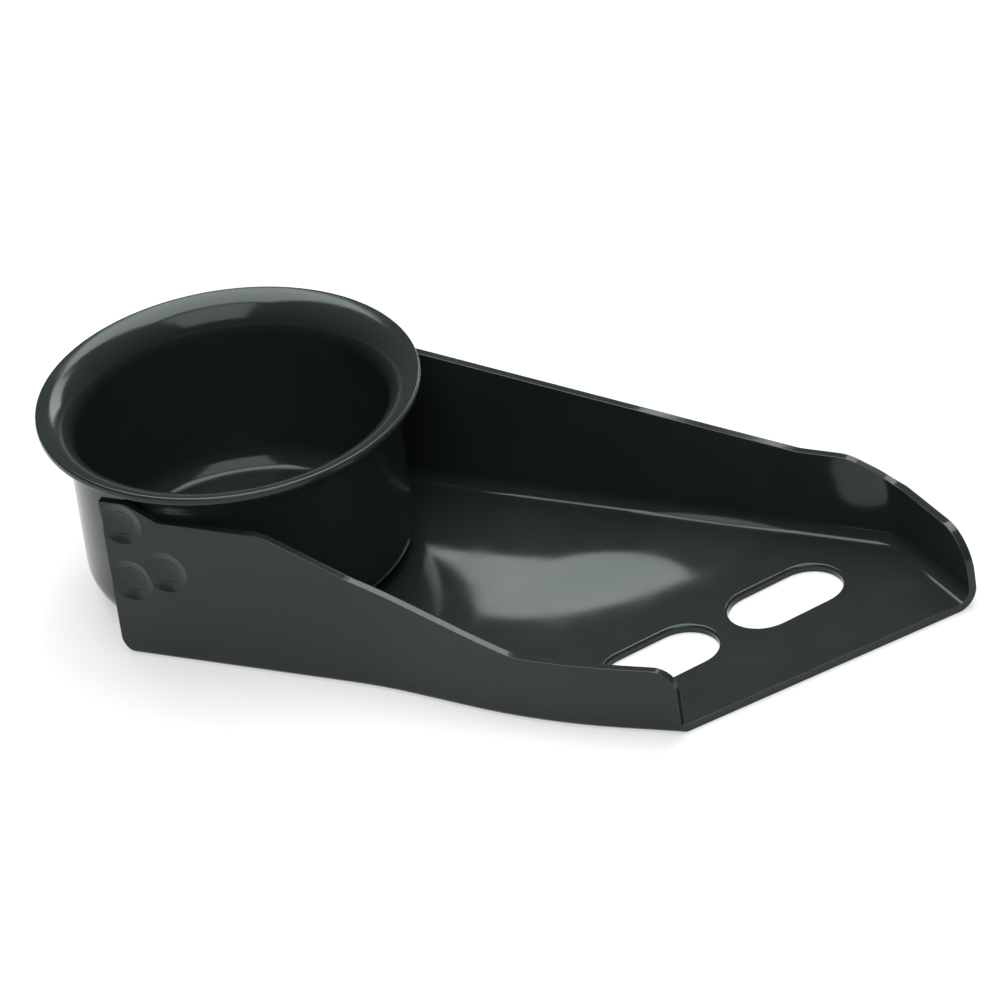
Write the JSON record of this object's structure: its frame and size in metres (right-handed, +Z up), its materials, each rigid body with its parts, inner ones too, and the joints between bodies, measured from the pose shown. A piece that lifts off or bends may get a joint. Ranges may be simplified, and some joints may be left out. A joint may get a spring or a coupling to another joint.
{
  "type": "cup bracket",
  "caption": "Round pressed-steel cup holder welded into a tapering channel arm that bolts down through slots near its skewed end.",
  "frame": {"origin": "midway between the two slots, on the underside of the arm", "axes": "+Z up out of the cup's mouth, +Y along the line of the slots towards the far wall, +X out past the arm's end edge, away from the cup"},
  "size_m": [0.1892, 0.1673, 0.051],
  "materials": {
    "arm_paint": "gloss black",
    "cup_paint": "gloss black",
    "weld_paint": "gloss black over weld metal"
  },
  "bodies": {
    "root": {"channel_arm": "arm_paint", "drawn_cup": "cup_paint", "near_weld_plugs": "weld_paint", "far_weld_plugs": "weld_paint"}
  },
  "joints": []
}
